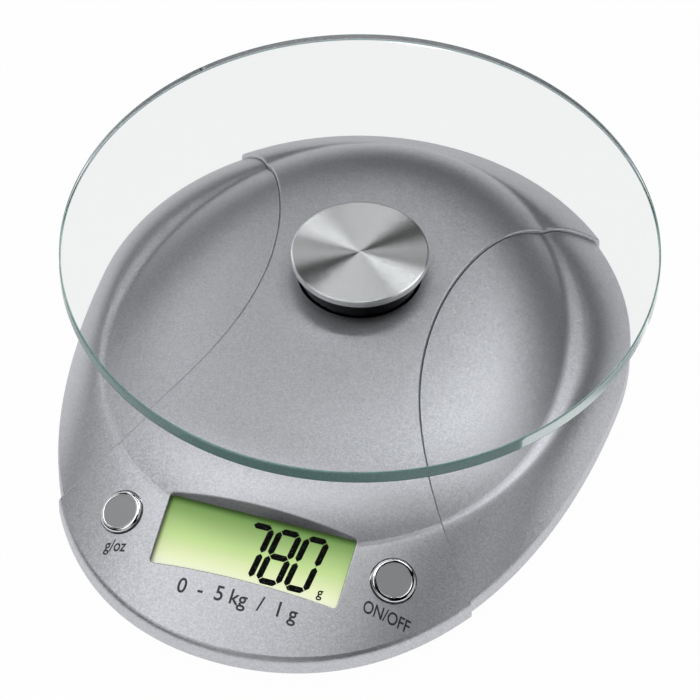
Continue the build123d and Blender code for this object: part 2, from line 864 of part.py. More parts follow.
def make_load_cell_lead():
    """Lead from the beam's fixed end, along the floor beside the battery bay, up to the board."""
    start_y = cell_l / 2 - cell_lead_setback
    start_z = (cell_bottom + cell_top) / 2
    out_x = cell_w / 2 + cell_lead_out
    side_x = bay_l / 2 + bay_wall + cell_lead_aside
    run_z = floor_top + cell_lead_d / 2 + cell_lead_lift
    end_x = side_x - cell_lead_aside
    end_y = board_y1 - 2 * cell_lead_d
    return lead(cell_lead_d, [
        (cell_w / 2, start_y, start_z), (out_x, start_y, start_z),
        (side_x, start_y - cell_lead_fall, run_z), (side_x, bay_y - bay_w / 2, run_z),
        board_point(end_x, end_y, -board_t - 3 * cell_lead_d), board_point(end_x, end_y, -board_t)])


def make_battery_lead(row):
    """Lead from a contact's tab, over the bay, down to the board's top."""
    x = bay_l / 2
    y = battery_y(row)
    top = bay_top + bay_roof + contact_tab - battery_lead_d
    end_x = x - battery_lead_pitch * (1 - row / 2)
    end_y = board_y1 - 2 * battery_lead_d
    return lead(battery_lead_d, [
        (x, y, top), (x + battery_lead_out, y, top),
        (x + battery_lead_out, y - battery_lead_run, top + battery_lead_rise),
        board_point(end_x, end_y, 5 * battery_lead_d), board_point(end_x, end_y, 0)])


nodes = {
    "glass_plate": make_glass_plate(),
    "plate_disc": make_plate_disc(),
    "platform_hub": make_platform_hub(),
    "load_carrier": make_load_carrier(),
    "carrier_screws": make_carrier_screws(),
    "hub_screws": make_hub_screws(),
    "load_cell": make_load_cell(),
    "gauge_seal": make_gauge_seal(),
    "beam_screws": make_beam_screws(),
    "overload_stop": make_overload_stop(),
    "centre_cover": make_centre_cover(),
    "left_side_cover": make_side_cover(-1),
    "right_side_cover": make_side_cover(1),
    "display_lens": make_display_lens(),
    "lcd_panel": make_lcd_panel(),
    "backlight": make_backlight(),
    "contact_strip": make_contact_strip(),
    "lcd_frame": make_lcd_frame(),
    "main_board": make_main_board(),
    "board_screws": make_board_screws(),
    "controller_chip": make_controller_chip(),
    "left_key_switch": make_key_switch(-1),
    "right_key_switch": make_key_switch(1),
    "left_key_plunger": make_key_plunger(-1),
    "right_key_plunger": make_key_plunger(1),
    "unit_button": make_button(-1),
    "on_button": make_button(1),
    "base_tray": make_base_tray(),
    "cover_screws": make_cover_screws(),
    "front_battery": make_battery(-1),
    "back_battery": make_battery(1),
    "contact_positive": make_contact(-1),
    "contact_negative": make_contact(1),
    "contact_bridge": make_contact_bridge(),
    "battery_door": make_battery_door(),
    "load_cell_lead": make_load_cell_lead(),
    "battery_leads": group([make_battery_lead(-1), make_battery_lead(1)]),
}
for name, (foot_x, foot_y) in foot_places.items():
    nodes["foot_" + name] = make_foot(foot_x, foot_y)

os.makedirs("parts", exist_ok=True)
home = Pos(0, plate_shift, 0)
for name, solid in nodes.items():
    export_step(home * solid, f"parts/{name}.step")
for side in (-1, 1):
    seat = button_plane(side)
    print("button", side, home * Pos(seat.origin), seat.z_dir)
print("door axis", door_axis_y + plate_shift, door_axis_z)
print("lens plane", lens_plane.origin, "plate shift", plate_shift)
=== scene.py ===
from math import cos, pi, radians, sin, tan

import bmesh
import bpy
from bpy.props import FloatProperty, FloatVectorProperty, IntProperty, PointerProperty, StringProperty
from mathutils import Euler, Matrix, Vector
from mathutils.bvhtree import BVHTree


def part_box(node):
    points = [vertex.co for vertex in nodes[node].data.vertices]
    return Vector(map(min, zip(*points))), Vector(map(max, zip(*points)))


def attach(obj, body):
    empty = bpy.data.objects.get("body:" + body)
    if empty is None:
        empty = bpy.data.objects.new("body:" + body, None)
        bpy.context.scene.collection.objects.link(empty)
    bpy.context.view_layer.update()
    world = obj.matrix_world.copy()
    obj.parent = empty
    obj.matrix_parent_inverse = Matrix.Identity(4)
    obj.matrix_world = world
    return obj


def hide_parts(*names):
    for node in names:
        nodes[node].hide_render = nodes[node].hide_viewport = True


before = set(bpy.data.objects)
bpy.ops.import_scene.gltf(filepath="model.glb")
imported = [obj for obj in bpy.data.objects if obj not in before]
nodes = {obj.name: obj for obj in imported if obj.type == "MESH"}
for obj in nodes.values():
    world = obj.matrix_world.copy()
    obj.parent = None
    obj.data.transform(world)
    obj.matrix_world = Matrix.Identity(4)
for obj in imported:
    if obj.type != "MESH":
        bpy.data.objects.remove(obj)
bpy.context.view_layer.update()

bl_info = {
    "name": "Kitchen scale looks",
    "version": (1, 0, 0),
    "blender": (4, 5, 0),
    "location": "View3D > Sidebar > Kitchen scale",
    "description": "Glass plate, spun disc, painted housing, display, buttons and studio for a kitchen scale",
    "category": "Object",
}

plate_low, plate_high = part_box("glass_plate")
disc_low, disc_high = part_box("plate_disc")
plate_axis = Vector((0, (disc_low.y + disc_high.y) / 2, 0))
glass_ior = 1.5
# Lower than that of real plastic, so that the window's gloss doesn't veil the digits.
window_ior = 1.06
print_depth = 0.00003
segment_depth = 0.00002


def colour(name, about, value):
    """A colour that a user can change."""
    return FloatVectorProperty(name=name, description=about, default=value, size=3, min=0, max=1,
                               subtype="COLOR")


def length(name, about, value):
    """A length that a user can change, in metres."""
    return FloatProperty(name=name, description=about, default=value, min=0, unit="LENGTH",
                         subtype="DISTANCE", precision=5)


def share(name, about, value):
    """A level between none and full that a user can change."""
    return FloatProperty(name=name, description=about, default=value, min=0, max=1, subtype="FACTOR")


def power(name, about, value):
    """A lamp's power that a user can change, in watts."""
    return FloatProperty(name=name, description=about, default=value, min=0, unit="POWER")


class PlateLooks(bpy.types.PropertyGroup):
    """Weighing plate, its disc and its neck"""
    facets: IntProperty(name="Facets", description="Flat facets round the plate", default=288, min=48)
    arris: length("Arris", "Width of the ground corner along the glass", 0.0006)
    tint: colour("Glass tint", "What one face of the glass lets through", (0.975, 0.985, 0.985))
    edge: colour("Glass edge", "Film of ground glass round the edge", (0.22, 0.42, 0.40))
    disc: colour("Disc", "Spun aluminium under the glass", (0.80, 0.81, 0.82))
    disc_roughness: share("Disc roughness", "How far the spun lines spread light", 0.26)
    disc_bevel: length("Disc bevel", "Width of the turned corner on the disc", 0.0006)
    neck: colour("Neck", "Black gloss neck under the disc", (0.003, 0.003, 0.004))


class HousingLooks(bpy.types.PropertyGroup):
    """Silver paint on the three covers"""
    silver: colour("Silver", "Light flakes in the paint", (0.622, 0.630, 0.660))
    shade: colour("Shade", "Dark flakes in the paint", (0.486, 0.494, 0.524))
    roughness: share("Roughness", "How matt the paint is", 0.45)
    flake: length("Flake", "Size of one flake", 0.00042)
    sparkle: share("Sparkle", "How far each flake leans its own way", 0.07)


class DisplayLooks(bpy.types.PropertyGroup):
    """Display behind the window"""
    reading: StringProperty(name="Reading", description="Digits that the display shows", default="780")
    # The dark top colour is partly backlight falloff and partly painted shade of the window's top wall.
    top: colour("Top", "Backlight at the top of the display", (0.17, 0.34, 0.075))
    middle: colour("Middle", "Backlight across the middle", (0.55, 0.73, 0.30))
    low: colour("Low", "Backlight below the middle", (0.83, 0.90, 0.55))
    bottom: colour("Bottom", "Backlight at the bottom", (0.95, 0.98, 0.80))
    ink: colour("Digits", "Dark segments", (0.002, 0.003, 0.002))
    tilt: FloatProperty(name="Tilt", description="Slope of the display", default=radians(23.5),
                        subtype="ANGLE", unit="ROTATION")
    panel_glass: length("Panel glass", "Thickness of the display's upper glass", 0.0011)
    digit_height: length("Digit height", "From the middle of the top bar to that of the bottom bar", 0.0176)
    digit_width: length("Digit width", "Between the middles of the two upright bars", 0.0066)
    digit_pitch: length("Digit pitch", "From one digit to the next", 0.0094)
    stroke: length("Stroke", "Width of a segment", 0.0021)
    slant: FloatProperty(name="Slant", description="Lean of the digits", default=radians(8.1),
                         subtype="ANGLE", unit="ROTATION")


class ControlLooks(bpy.types.PropertyGroup):
    """Buttons and printed marks"""
    rim: colour("Button rim", "Bright plated rim", (0.80, 0.80, 0.82))
    top: colour("Button top", "Satin top of a button", (0.38, 0.385, 0.395))
    ink: colour("Marks", "Printed marks on the cover", (0.022, 0.022, 0.026))
    mark_height: length("Mark height", "Height of the marks by the buttons", 0.0054)
    range_height: length("Range height", "Height of the range under the display", 0.0066)


class BaseLooks(bpy.types.PropertyGroup):
    """Tray, feet, door and what is inside"""
    tray: colour("Tray", "Moulded tray and door", (0.30, 0.305, 0.315))
    rubber: colour("Feet", "Rubber feet", (0.018, 0.018, 0.019))
    board: colour("Board", "Lacquer on the main board", (0.018, 0.13, 0.045))
    copper: colour("Tracks", "Tracks under the lacquer", (0.05, 0.22, 0.08))


class StageLooks(bpy.types.PropertyGroup):
    """Floor, light and camera"""
    floor_radius: length("Floor radius", "How far the floor reaches", 6.0)
    room: share("Room light", "Light from all round", 0.0)
    front_bank: power("Front bank", "Power of the high box in front on the left", 4.2)
    side_bank: power("Side bank", "Power of the high box on the left", 3.9)
    back_left: power("Back left", "Power of the box behind on the left", 3.9)
    back_slot: power("Back slot", "Power of the narrow box behind, clear of the plate's mirror", 2.3)
    back_right: power("Back right", "Power of the box behind on the right", 5.2)
    top: power("Top", "Power of the box straight above", 3.6)
    left: power("Left", "Power of the low box on the left", 3.1)
    right: power("Right", "Power of the low box on the right", 2.9)
    front: power("Front", "Power of the low box in front", 2.9)
    streak: power("Streak", "Power of the thin strip that draws the bright streak on the disc", 1.5)
    camera: FloatVectorProperty(name="Camera", description="Where the camera stands",
                                default=(0.42468, -1.27303, 1.50831), size=3, subtype="TRANSLATION",
                                unit="LENGTH")
    look: FloatVectorProperty(name="Look", description="How the camera is turned",
                              default=(radians(42.175095), 0, radians(18.288717)), size=3,
                              subtype="EULER", unit="ROTATION")
    lens: FloatProperty(name="Lens", description="Focal length in millimetres", default=308.57)


class Finish:
    """A procedural finish being put together on the piece's own coordinates."""

    def __init__(self, name):
        self.material = bpy.data.materials.new(name)
        self.material.use_nodes = True
        self.tree = self.material.node_tree
        self.shader = self.tree.nodes["Principled BSDF"]
        self.place = self.add("ShaderNodeTexCoord").outputs["Object"]

    def add(self, kind, **inputs):
        """A node with its inputs set, or linked where the value is another node's output."""
        node = self.tree.nodes.new(kind)
        for key, value in inputs.items():
            self.join(value, node.inputs[key.replace("_", " ")])
        return node

    def join(self, value, socket):
        if isinstance(value, bpy.types.NodeSocket):
            self.tree.links.new(value, socket)
        else:
            socket.default_value = value

    def set(self, **inputs):
        """Values of the shader's own sockets."""
        for key, value in inputs.items():
            self.join(value, self.shader.inputs[key.replace("_", " ")])
        return self

    def grain(self, size, detail=2.0, stretch=None):
        """Fine noise with features of about one size, drawn out along an axis if asked."""
        place = self.place
        if stretch:
            place = self.add("ShaderNodeMapping", Vector=place, Scale=stretch).outputs["Vector"]
        noise = self.add("ShaderNodeTexNoise", Vector=place, Scale=1 / size, Detail=detail)
        return noise.outputs["Fac"]

    def tint(self, pattern, dark, light, low=0.35, high=0.65):
        """A colour that goes from dark to light with a pattern."""
        ramp = self.add("ShaderNodeValToRGB", Fac=pattern)
        ramp.color_ramp.elements[0].position = low
        ramp.color_ramp.elements[0].color = (*dark, 1)
        ramp.color_ramp.elements[1].position = high
        ramp.color_ramp.elements[1].color = (*light, 1)
        return ramp.outputs["Color"]

    def vary(self, pattern, low, high):
        """A number that follows a pattern."""
        node = self.add("ShaderNodeMapRange", Value=pattern, To_Min=low, To_Max=high)
        return node.outputs["Result"]

    def lean(self, pattern, amount):
        """Tips each cell of a coloured pattern its own way."""
        way = self.add("ShaderNodeVectorMath")
        way.operation = "SUBTRACT"
        self.join(pattern, way.inputs[0])
        way.inputs[1].default_value = (0.5, 0.5, 0.5)
        tip = self.add("ShaderNodeVectorMath")
        tip.operation = "MULTIPLY_ADD"
        self.join(way.outputs["Vector"], tip.inputs[0])
        tip.inputs[1].default_value = (amount, amount, amount)
        self.join(self.add("ShaderNodeNewGeometry").outputs["Normal"], tip.inputs[2])
        self.join(tip.outputs["Vector"], self.shader.inputs["Normal"])
        return self

    def relief(self, pattern, height, strength):
        """Bumps as high as a length."""
        node = self.add("ShaderNodeBump", Height=pattern, Distance=height, Strength=strength)
        self.join(node.outputs["Normal"], self.shader.inputs["Normal"])
        return self

    def combine(self, operation, first, second):
        """One number from two."""
        node = self.add("ShaderNodeMath")
        node.operation = operation
        self.join(first, node.inputs[0])
        self.join(second, node.inputs[1])
        return node.outputs[0]

    def cover(self, layer, amount):
        """Lays another shader over the finish, by an amount from none to full."""
        mix = self.add("ShaderNodeMixShader", Fac=amount)
        self.join(self.shader.outputs["BSDF"], mix.inputs[1])
        self.join(layer, mix.inputs[2])
        self.join(mix.outputs["Shader"], self.tree.nodes["Material Output"].inputs["Surface"])
        return self


def around(tone, spread):
    """A darker and a lighter neighbour of a colour."""
    return [max(c * (1 - spread), 0) for c in tone], [min(c * (1 + spread), 1) for c in tone]


def moulded(name, tone, roughness, texture=0.0004, depth=0.00002):
    """Moulded plastic or rubber with a fine spark texture."""
    paint = Finish(name)
    spark = paint.grain(texture)
    cloud = paint.grain(texture * 8, 3)
    paint.set(Base_Color=paint.tint(cloud, *around(tone, 0.06)),
              Roughness=paint.vary(spark, roughness - 0.07, roughness + 0.07))
    return paint.relief(spark, depth, 0.5).material


def metal(name, tone, roughness, grain=0.0005, stretch=None, depth=0.00001):
    """Plain metal with the marks of its making."""
    paint = Finish(name)
    marks = paint.grain(grain, 4, stretch)
    paint.set(Metallic=1.0, Base_Color=paint.tint(marks, *around(tone, 0.10)),
              Roughness=paint.vary(marks, roughness - 0.08, roughness + 0.10))
    return paint.relief(marks, depth, 0.4).material


def silver_paint(looks):
    """Silver paint with fine flakes."""
    paint = Finish("silver paint")
    flakes = paint.add("ShaderNodeTexVoronoi", Vector=paint.place, Scale=1 / looks.flake)
    spread = paint.add("ShaderNodeSeparateColor", Color=flakes.outputs["Color"]).outputs["Red"]
    mist = paint.grain(looks.flake * 3)
    paint.set(Metallic=1.0, Base_Color=paint.tint(spread, looks.shade, looks.silver, 0.0, 1.0),
              Roughness=paint.vary(mist, looks.roughness - 0.03, looks.roughness + 0.03))
    return paint.lean(flakes.outputs["Color"], looks.sparkle).material


def clear_glass(looks):
    """Clear plate glass, a little green."""
    glass = Finish("plate glass")
    smear = glass.grain(0.05, 1)
    glass.set(Base_Color=(*looks.tint, 1), Transmission_Weight=1.0, IOR=glass_ior,
              Roughness=glass.vary(smear, 0.0, 0.012))
    return glass.material


def glass_edge(looks):
    """Ground edge of the plate: a sea-green film, hidden where the glass throws all light back."""
    film_share = 0.85
    glass = Finish("glass edge")
    ground = glass.grain(0.0006, 3)
    glass.set(Base_Color=(*looks.tint, 1), Transmission_Weight=1.0, IOR=glass_ior,
              Roughness=glass.vary(ground, 0.02, 0.10))
    film = glass.add("ShaderNodeBsdfPrincipled", Base_Color=glass.tint(ground, *around(looks.edge, 0.12)),
                     Roughness=0.25)
    turned_back = glass.add("ShaderNodeFresnel", IOR=glass_ior).outputs["Fac"]
    return glass.cover(film.outputs["BSDF"], glass.vary(turned_back, film_share, 0.0)).material


def spun_aluminium(looks):
    """Aluminium turned in fine rings, which draws light out into two opposite streaks."""
    # The tangent runs along the rings, and the light is drawn out across them.
    quarter_turn = 0.25
    disc = Finish("spun aluminium")
    centred = disc.add("ShaderNodeMapping", Vector=disc.place, Location=-plate_axis).outputs["Vector"]
    rings = disc.add("ShaderNodeTexWave", Vector=centred, Scale=420.0, Distortion=0.6, Detail=2.0,
                     Detail_Scale=60.0)
    rings.wave_type = "RINGS"
    rings.rings_direction = "Z"
    lines = rings.outputs["Fac"]
    turned = disc.add("ShaderNodeTangent")
    turned.direction_type = "RADIAL"
    turned.axis = "Z"
    disc.set(Metallic=1.0, Base_Color=disc.tint(lines, *around(looks.disc, 0.03), 0.0, 1.0),
             Roughness=looks.disc_roughness, Anisotropic=1.0, Anisotropic_Rotation=quarter_turn,
             Tangent=turned.outputs["Tangent"])
    return disc.material


def black_gloss(looks):
    """Polished black plastic."""
    neck = Finish("black gloss")
    haze = neck.grain(0.004, 3)
    neck.set(Base_Color=neck.tint(haze, *around(looks.neck, 0.2)), Roughness=neck.vary(haze, 0.06, 0.12),
             Specular_IOR_Level=0.25)
    return neck.material


def window_clear():
    """Clear window in front of the display."""
    clear = Finish("clear window")
    smear = clear.grain(0.02, 1)
    clear.set(Base_Color=(1, 1, 1, 1), Transmission_Weight=1.0, IOR=window_ior,
              Roughness=clear.vary(smear, 0.0, 0.015))
    return clear.material


def display_glow(looks):
    """Green display, palest at the bottom where the backlight stands and darker towards the top, partly from
    backlight falloff and partly as painted shade of the window's top wall, with painted shadow of the
    window's left and top walls along those edges.
    """
    glow = Finish("display glow")
    low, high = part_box("display_lens")
    across, up, _ = glow.add("ShaderNodeSeparateXYZ", Vector=glow.place).outputs
    rise = glow.add("ShaderNodeMapRange", Value=up, From_Min=low.y, From_Max=high.y).outputs["Result"]
    cells = glow.grain(0.0012, 2)
    # The darker top of this ramp is partly painted shade of the window's top wall.
    ramp = glow.add("ShaderNodeValToRGB", Fac=rise)
    stops = ramp.color_ramp.elements
    stops[0].position = 0.06
    stops[0].color = (*looks.bottom, 1)
    stops[1].position = 0.92
    stops[1].color = (*looks.top, 1)
    stops.new(0.25).color = (*looks.low, 1)
    stops.new(0.50).color = (*looks.middle, 1)
    # Painted shadow: the display is darkened along its left and top edges, where the window's walls would
    # shade it, down to 0.12 and 0.40 of full.
    left_wall_shadow = (across, low.x + 0.0002, low.x + 0.0024, 0.12)
    top_wall_shadow = (up, high.y - 0.0004, high.y - 0.0030, 0.40)
    wall_shadows = []
    for way, dark, lit, deepest_shade in (left_wall_shadow, top_wall_shadow):
        wall_shadow = glow.add("ShaderNodeMapRange", Value=way, From_Min=dark, From_Max=lit, To_Min=deepest_shade)
        wall_shadow.interpolation_type = "SMOOTHSTEP"
        wall_shadows.append(wall_shadow.outputs["Result"])
    # The backlight ramp times the painted wall shadows, used as both base and emission colour.
    tone = glow.add("ShaderNodeVectorMath")
    tone.operation = "SCALE"
    glow.join(ramp.outputs["Color"], tone.inputs[0])
    glow.join(glow.combine("MULTIPLY", *wall_shadows), tone.inputs["Scale"])
    glow.set(Base_Color=tone.outputs[0], Emission_Color=tone.outputs[0], Emission_Strength=0.40,
             Specular_IOR_Level=0.2, Roughness=glow.vary(cells, 0.25, 0.35))
    return glow.material


def display_ink(looks):
    """Dark segments of the display, which take nearly all light."""
    ink = Finish("display ink")
    cells = ink.grain(0.0008, 2)
    ink.set(Base_Color=ink.tint(cells, *around(looks.ink, 0.3)), Roughness=ink.vary(cells, 0.5, 0.6),
            Specular_IOR_Level=0.05)
    return ink.material


def button_finishes(looks):
    """Bright rim and satin top."""
    rim = Finish("button rim")
    polish = rim.grain(0.003, 3)
    rim.set(Metallic=1.0, Base_Color=rim.tint(polish, *around(looks.rim, 0.04)),
            Roughness=rim.vary(polish, 0.06, 0.12))
    satin = Finish("button top")
    grain = satin.grain(0.0003, 3)
    satin.set(Metallic=0.3, Base_Color=satin.tint(grain, *around(looks.top, 0.06)),
              Roughness=satin.vary(grain, 0.45, 0.6))
    return rim.material, satin.material


def printed_ink(looks):
    """Screen-printed ink, a little uneven."""
    ink = Finish("printed ink")
    edge = ink.grain(0.0005, 3)
    ink.set(Base_Color=ink.tint(edge, *around(looks.ink, 0.3)), Roughness=ink.vary(edge, 0.35, 0.55))
    return ink.material


def board_lacquer(looks):
    """Green lacquer over copper tracks."""
    board = Finish("board lacquer")
    tracks = board.add("ShaderNodeTexBrick", Vector=board.place, Scale=120.0,
                       Color1=(*looks.board, 1), Color2=(*around(looks.board, 0.2)[0], 1),
                       Mortar=(*looks.copper, 1), Mortar_Size=0.03)
    lump = board.grain(0.002)
    board.set(Base_Color=tracks.outputs["Color"], Roughness=board.vary(lump, 0.25, 0.4))
    return board.relief(tracks.outputs["Fac"], 0.00003, 0.4).material


def battery_wrap(name, plus):
    """Battery sleeve: dark body, copper end on the plus side."""
    wrap = Finish(name)
    low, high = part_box("front_battery")
    along = wrap.add("ShaderNodeSeparateXYZ", Vector=wrap.place).outputs["X"]
    run = wrap.add("ShaderNodeMapRange", Value=along, From_Min=plus * low.x, From_Max=plus * high.x)
    ramp = wrap.add("ShaderNodeValToRGB", Fac=run.outputs["Result"])
    ramp.color_ramp.interpolation = "CONSTANT"
    stops = ramp.color_ramp.elements
    stops[0].color = (0.45, 0.45, 0.46, 1)
    stops[1].position = 0.03
    stops[1].color = (0.02, 0.02, 0.022, 1)
    stops.new(0.70).color = (0.48, 0.22, 0.08, 1)
    stops.new(0.96).color = (0.5, 0.5, 0.5, 1)
    scuff = wrap.grain(0.002, 4)
    wrap.set(Metallic=0.7, Base_Color=ramp.outputs["Color"], Roughness=wrap.vary(scuff, 0.22, 0.4))
    return wrap.material


def inner_finishes(looks):
    """Finishes of the moulded base and of everything inside, by the record's slot."""
    return {
        "grey_plastic": moulded("grey plastic", looks.tray, 0.5, 0.0005, 0.00004),
        "dark_rubber": moulded("dark rubber", looks.rubber, 0.75, 0.0004, 0.00003),
        "white_plastic": moulded("white plastic", (0.74, 0.74, 0.72), 0.42),
        "white_silicone": moulded("white silicone", (0.78, 0.78, 0.76), 0.6, 0.001, 0.00008),
        "black_resin": moulded("black resin", (0.012, 0.012, 0.013), 0.3, 0.001, 0.00002),
        "grey_sleeve": moulded("grey sleeve", (0.33, 0.34, 0.35), 0.45, 0.0006),
        "red_sleeve": moulded("red sleeve", (0.42, 0.02, 0.018), 0.42, 0.0006),
        "light_guide": moulded("light guide", (0.80, 0.84, 0.74), 0.3, 0.0008, 0.00001),
        "cast_aluminium": metal("cast aluminium", (0.52, 0.53, 0.54), 0.5, 0.0008, depth=0.00004),
        "cell_aluminium": metal("milled aluminium", (0.66, 0.67, 0.68), 0.34, 0.0004, (1, 0.06, 1)),
        "zinc_steel": metal("zinc steel", (0.56, 0.57, 0.60), 0.32, 0.0006),
        "contact_nickel": metal("contact nickel", (0.66, 0.64, 0.60), 0.26, 0.0006, (0.2, 1, 1)),
        "board_green": board_lacquer(looks),
    }


def wear(piece, *materials):
    """Gives a new piece its finishes in order."""
    for material in materials:
        piece.data.materials.append(material)
    return piece


def dress(node, material):
    """Puts a finish on a CAD node, whose mesh stays as it is."""
    for slot in nodes[node].material_slots:
        slot.material = material


def make_piece(name, bm, body, slot, *materials, sharp=35.0):
    """Turns a bmesh into a finished piece that rides on a body."""
    mesh = bpy.data.meshes.new(name)
    bm.to_mesh(mesh)
    bm.free()
    mesh.shade_smooth()
    mesh.set_sharp_from_angle(angle=radians(sharp))
    piece = bpy.data.objects.new(name, mesh)
    bpy.context.scene.collection.objects.link(piece)
    wear(piece, *materials)
    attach(piece, body)
    return piece


def let_light_by(piece):
    """Keeps a clear piece out of the way of light between a lamp and what lies under it."""
    piece.visible_shadow = False
    piece.visible_diffuse = False
    piece.visible_glossy = False


def turned(profile, steps):
    """A solid spun about Z from a line of radius and height."""
    bm = bmesh.new()
    line = [bm.verts.new((radius, 0, z)) for radius, z in profile]
    edges = [bm.edges.new(pair) for pair in zip(line, line[1:])]
    bmesh.ops.spin(bm, geom=line + edges, cent=(0, 0, 0), axis=(0, 0, 1), angle=2 * pi, steps=steps,
                   use_merge=True)
    bmesh.ops.remove_doubles(bm, verts=bm.verts, dist=1e-7)
    bmesh.ops.recalc_face_normals(bm, faces=bm.faces)
    return bm


def rings_at(bm, radius, z):
    """The edges that run round at one radius and height."""
    near = 1e-5
    return [e for e in bm.edges
            if all(abs(v.co.xy.length - radius) < near and abs(v.co.z - z) < near for v in e.verts)]


def rounded(bm, edges, width, segments):
    """Rounds edges off."""
    bmesh.ops.bevel(bm, geom=edges, offset=width, offset_type="OFFSET", segments=segments, profile=0.5,
                    affect="EDGES", material=-1)


class SCALE_OT_weighing_plate(bpy.types.Operator):
    """Round glass plate with a ground edge"""
    bl_idname = "kitchen_scale.weighing_plate"
    bl_label = "Weighing plate"

    def execute(self, context):
        looks = context.scene.scale_plate
        radius = plate_high.x
        thick = plate_high.z - plate_low.z
        bm = bmesh.new()
        bmesh.ops.create_cone(bm, cap_ends=True, cap_tris=False, segments=looks.facets, radius1=radius,
                              radius2=radius, depth=thick)
        for z in (-thick / 2, thick / 2):
            rounded(bm, rings_at(bm, radius, z), looks.arris, 3)
        for face in bm.faces:
            face.material_index = 0 if abs(face.normal.z) > 0.999 else 1
        bmesh.ops.translate(bm, verts=bm.verts, vec=plate_axis + Vector((0, 0, plate_low.z + thick / 2)))
        plate = make_piece("weighing_plate", bm, "platform", "clear_glass", clear_glass(looks),
                           glass_edge(looks), sharp=12.0)
        let_light_by(plate)
        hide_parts("glass_plate")
        return {"FINISHED"}


class SCALE_OT_plate_disc(bpy.types.Operator):
    """Spun aluminium disc under the glass, with its spigot, and the black neck that carries it"""
    bl_idname = "kitchen_scale.plate_disc"
    bl_label = "Disc and neck"

    def execute(self, context):
        looks = context.scene.scale_plate
        glue = 0.00002
        radius = disc_high.x
        spigot = 0.004
        top = disc_high.z - glue
        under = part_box("platform_hub")[1].z
        bm = turned([(0, disc_low.z), (spigot, disc_low.z), (spigot, under), (radius, under), (radius, top),
                     (0, top)], looks.facets // 2)
        for z in (under, top):
            rounded(bm, rings_at(bm, radius, z), looks.disc_bevel, 3)
        bmesh.ops.translate(bm, verts=bm.verts, vec=plate_axis)
        disc = make_piece("spun_disc", bm, "platform", "spun_aluminium", spun_aluminium(looks),
                          sharp=12.0)
        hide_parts("plate_disc")
        dress("platform_hub", black_gloss(looks))
        return {"FINISHED"}


class SCALE_OT_housing(bpy.types.Operator):
    """Silver paint on the centre cover and the two side covers"""
    bl_idname = "kitchen_scale.housing"
    bl_label = "Housing"

    def execute(self, context):
        paint = silver_paint(context.scene.scale_housing)
        for cover in ("centre_cover", "left_side_cover", "right_side_cover"):
            dress(cover, paint)
        return {"FINISHED"}


segments_of = {"0": "abcdef", "1": "bc", "2": "abged", "3": "abgcd", "4": "fgbc", "5": "afgcd",
               "6": "afgedc", "7": "abc", "8": "abcdefg", "9": "abcdfg"}


def display_plane(looks):
    """Places flat work on the upper face of the display, seen through its window."""
    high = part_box("lcd_panel")[1]
    lift = 0.00003
    slope = looks.tilt
    face_edge = Vector((0, high.y - looks.panel_glass * sin(slope), high.z))
    out = Vector((0, -sin(slope), cos(slope)))
    return Matrix.Translation(face_edge + out * lift) @ Matrix.Rotation(slope, 4, "X")


def bar(bm, looks, run, place, upright):
    """One pointed segment of a digit, as a thin plate."""
    half = looks.stroke / 2
    reach = run / 2
    outline = [(-reach, 0), (-reach + half, -half), (reach - half, -half), (reach, 0), (reach - half, half),
               (-reach + half, half)]
    verts = [bm.verts.new((x, y, 0)) for x, y in outline]
    face = bm.faces.new(verts)
    turn = Matrix.Rotation(pi / 2 if upright else 0, 4, "Z")
    bmesh.ops.transform(bm, matrix=Matrix.Translation((*place, 0)) @ turn, verts=verts)
    return face


def digit(bm, looks, figure, x):
    """One slanted seven-segment figure, its middle at x."""
    wide = looks.digit_width / 2
    tall = looks.digit_height / 2
    gap_share = 0.16
    gap = looks.stroke * gap_share
    spots = {"a": (0, tall, False), "b": (wide, tall / 2, True), "c": (wide, -tall / 2, True),
             "d": (0, -tall, False), "e": (-wide, -tall / 2, True), "f": (-wide, tall / 2, True),
             "g": (0, 0, False)}
    made = []
    for letter in segments_of[figure]:
        across, up, upright = spots[letter]
        run = (tall if upright else 2 * wide) - gap
        made.append(bar(bm, looks, run, (across, up), upright))
    verts = [v for face in made for v in face.verts]
    lean = Matrix(((1, tan(looks.slant), 0, 0), (0, 1, 0, 0), (0, 0, 1, 0), (0, 0, 0, 1)))
    bmesh.ops.transform(bm, matrix=Matrix.Translation((x, 0, 0)) @ lean, verts=verts)


def lettering(name, words, height, stretch):
    """Flat letters about the origin as a bmesh, from a text object that is then removed."""
    swell = 0.012
    text = bpy.data.curves.new(name, "FONT")
    text.body = words
    text.size = height
    text.offset = height * swell
    text.align_x = "CENTER"
    text.align_y = "CENTER"
    text.resolution_u = 6
    holder = bpy.data.objects.new(name, text)
    bpy.context.scene.collection.objects.link(holder)
    bpy.context.view_layer.update()
    mesh = bpy.data.meshes.new_from_object(holder)
    bpy.data.objects.remove(holder)
    bm = bmesh.new()
    bm.from_mesh(mesh)
    bpy.data.meshes.remove(mesh)
    bmesh.ops.remove_doubles(bm, verts=bm.verts, dist=1e-7)
    bmesh.ops.scale(bm, vec=(stretch, 1, 1), verts=bm.verts)
    return bm


def thicken(bm, depth):
    """Gives flat work a thickness, upwards."""
    made = bmesh.ops.extrude_face_region(bm, geom=bm.faces[:], use_keep_orig=True)
    raised = [v for v in made["geom"] if isinstance(v, bmesh.types.BMVert)]
    bmesh.ops.translate(bm, verts=raised, vec=(0, 0, depth))
    bmesh.ops.recalc_face_normals(bm, faces=bm.faces)


